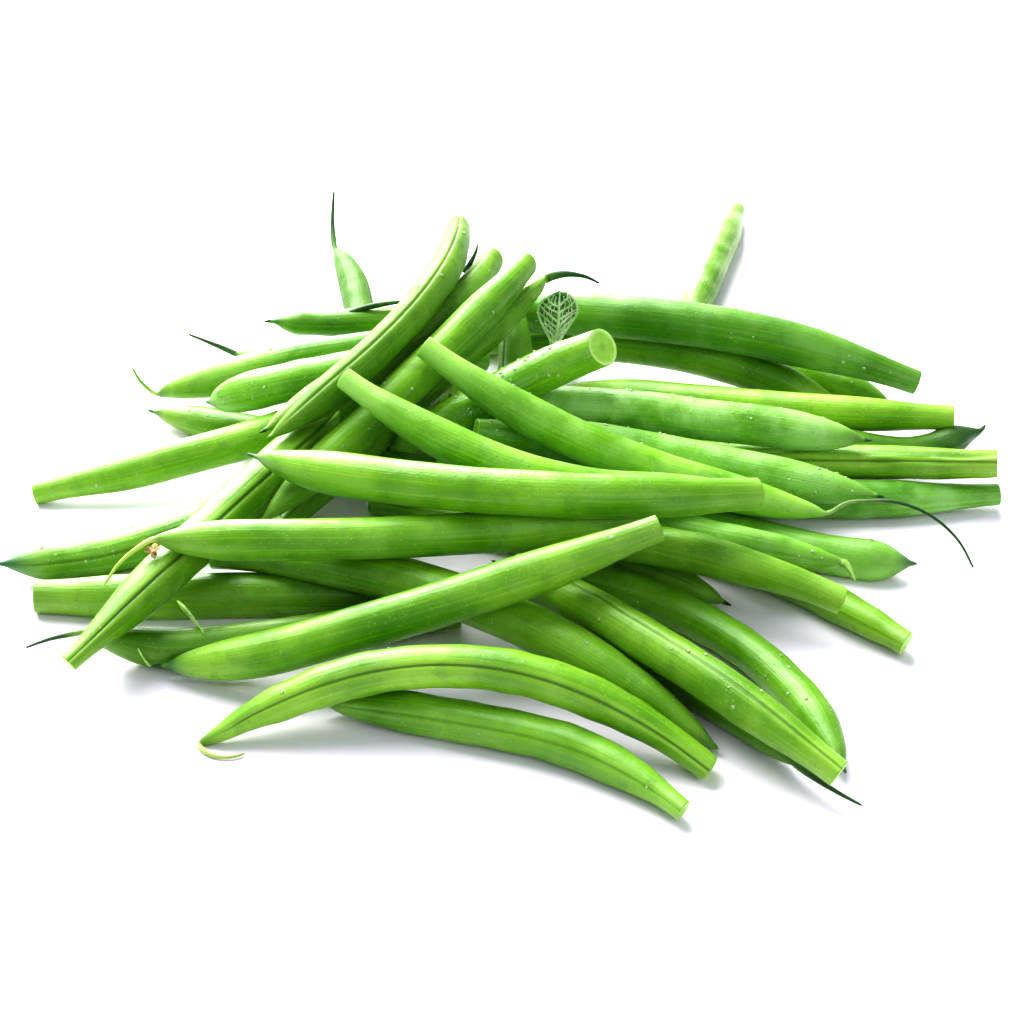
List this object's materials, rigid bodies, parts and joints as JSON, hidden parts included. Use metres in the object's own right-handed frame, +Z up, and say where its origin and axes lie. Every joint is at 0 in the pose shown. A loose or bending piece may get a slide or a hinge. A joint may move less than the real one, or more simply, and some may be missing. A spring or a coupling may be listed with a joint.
{
  "type": "green bean bundle",
  "caption": "Loose, untied bundle of whole fresh green beans heaped flat, with cut stalk ends, pointed tips, dry tails and a dry leaf scrap.",
  "frame": {"origin": "centre of the bounding box in plan, at the level of the surface that the bundle lies on", "axes": "+Z up, +X to the right along most of the pods, +Y to the back, away from the side that is seen first"},
  "size_m": [0.2386, 0.2602, 0.0455],
  "materials": {
    "back_alone": "fresh bean skin, satin with a soft sheen",
    "back_cut": "fresh bean skin, satin with a soft sheen",
    "back_low": "fresh bean skin, satin with a soft sheen",
    "back_middle": "fresh bean skin, satin with a soft sheen",
    "back_thick": "fresh bean skin, satin with a soft sheen",
    "dry_leaf_scrap": "dry papery leaf",
    "front_arch": "fresh bean skin, satin with a soft sheen",
    "front_diagonal": "fresh bean skin, satin with a soft sheen",
    "front_low": "fresh bean skin, satin with a soft sheen",
    "front_middle": "fresh bean skin, satin with a soft sheen",
    "front_right_curved": "fresh bean skin, satin with a soft sheen",
    "front_right_long": "fresh bean skin, satin with a soft sheen",
    "front_right_under": "fresh bean skin, satin with a soft sheen",
    "left_back_alone": "fresh bean skin, satin with a soft sheen",
    "left_back_far": "fresh bean skin, satin with a soft sheen",
    "left_back_inner": "fresh bean skin, satin with a soft sheen",
    "left_back_low": "fresh bean skin, satin with a soft sheen",
    "left_back_thick": "fresh bean skin, satin with a soft sheen",
    "left_back_upper": "fresh bean skin, satin with a soft sheen",
    "left_long_cut": "fresh bean skin, satin with a soft sheen",
    "left_low_cut": "fresh bean skin, satin with a soft sheen",
    "left_low_tip": "fresh bean skin, satin with a soft sheen",
    "left_pointed": "fresh bean skin, satin with a soft sheen",
    "left_steep": "fresh bean skin, satin with a soft sheen",
    "right_back_tip": "fresh bean skin, satin with a soft sheen",
    "right_edge_back": "fresh bean skin, satin with a soft sheen",
    "right_edge_front": "fresh bean skin, satin with a soft sheen",
    "right_edge_tip": "fresh bean skin, satin with a soft sheen",
    "right_front": "fresh bean skin, satin with a soft sheen",
    "right_inner_low": "fresh bean skin, satin with a soft sheen",
    "right_low_cut": "fresh bean skin, satin with a soft sheen",
    "right_low_tip": "fresh bean skin, satin with a soft sheen",
    "right_middle": "fresh bean skin, satin with a soft sheen",
    "right_thick": "fresh bean skin, satin with a soft sheen",
    "right_upper": "fresh bean skin, satin with a soft sheen",
    "right_upper_cut": "fresh bean skin, satin with a soft sheen",
    "sheaf_inner": "fresh bean skin, satin with a soft sheen",
    "sheaf_left": "fresh bean skin, satin with a soft sheen",
    "sheaf_middle": "fresh bean skin, satin with a soft sheen",
    "sheaf_right": "fresh bean skin, satin with a soft sheen",
    "sheaf_tailed": "fresh bean skin, satin with a soft sheen",
    "top_front": "fresh bean skin, satin with a soft sheen",
    "top_long": "fresh bean skin, satin with a soft sheen",
    "top_middle": "fresh bean skin, satin with a soft sheen",
    "top_tailed": "fresh bean skin, satin with a soft sheen"
  },
  "bodies": {
    "root": {"back_alone": "back_alone", "back_cut": "back_cut", "back_low": "back_low", "back_middle": "back_middle", "back_thick": "back_thick", "dry_leaf_scrap": "dry_leaf_scrap", "front_arch": "front_arch", "front_diagonal": "front_diagonal", "front_low": "front_low", "front_middle": "front_middle", "front_right_curved": "front_right_curved", "front_right_long": "front_right_long", "front_right_under": "front_right_under", "left_back_alone": "left_back_alone", "left_back_far": "left_back_far", "left_back_inner": "left_back_inner", "left_back_low": "left_back_low", "left_back_thick": "left_back_thick", "left_back_upper": "left_back_upper", "left_long_cut": "left_long_cut", "left_low_cut": "left_low_cut", "left_low_tip": "left_low_tip", "left_pointed": "left_pointed", "left_steep": "left_steep", "right_back_tip": "right_back_tip", "right_edge_back": "right_edge_back", "right_edge_front": "right_edge_front", "right_edge_tip": "right_edge_tip", "right_front": "right_front", "right_inner_low": "right_inner_low", "right_low_cut": "right_low_cut", "right_low_tip": "right_low_tip", "right_middle": "right_middle", "right_thick": "right_thick", "right_upper": "right_upper", "right_upper_cut": "right_upper_cut", "sheaf_inner": "sheaf_inner", "sheaf_left": "sheaf_left", "sheaf_middle": "sheaf_middle", "sheaf_right": "sheaf_right", "sheaf_tailed": "sheaf_tailed", "top_front": "top_front", "top_long": "top_long", "top_middle": "top_middle", "top_tailed": "top_tailed"}
  },
  "joints": []
}
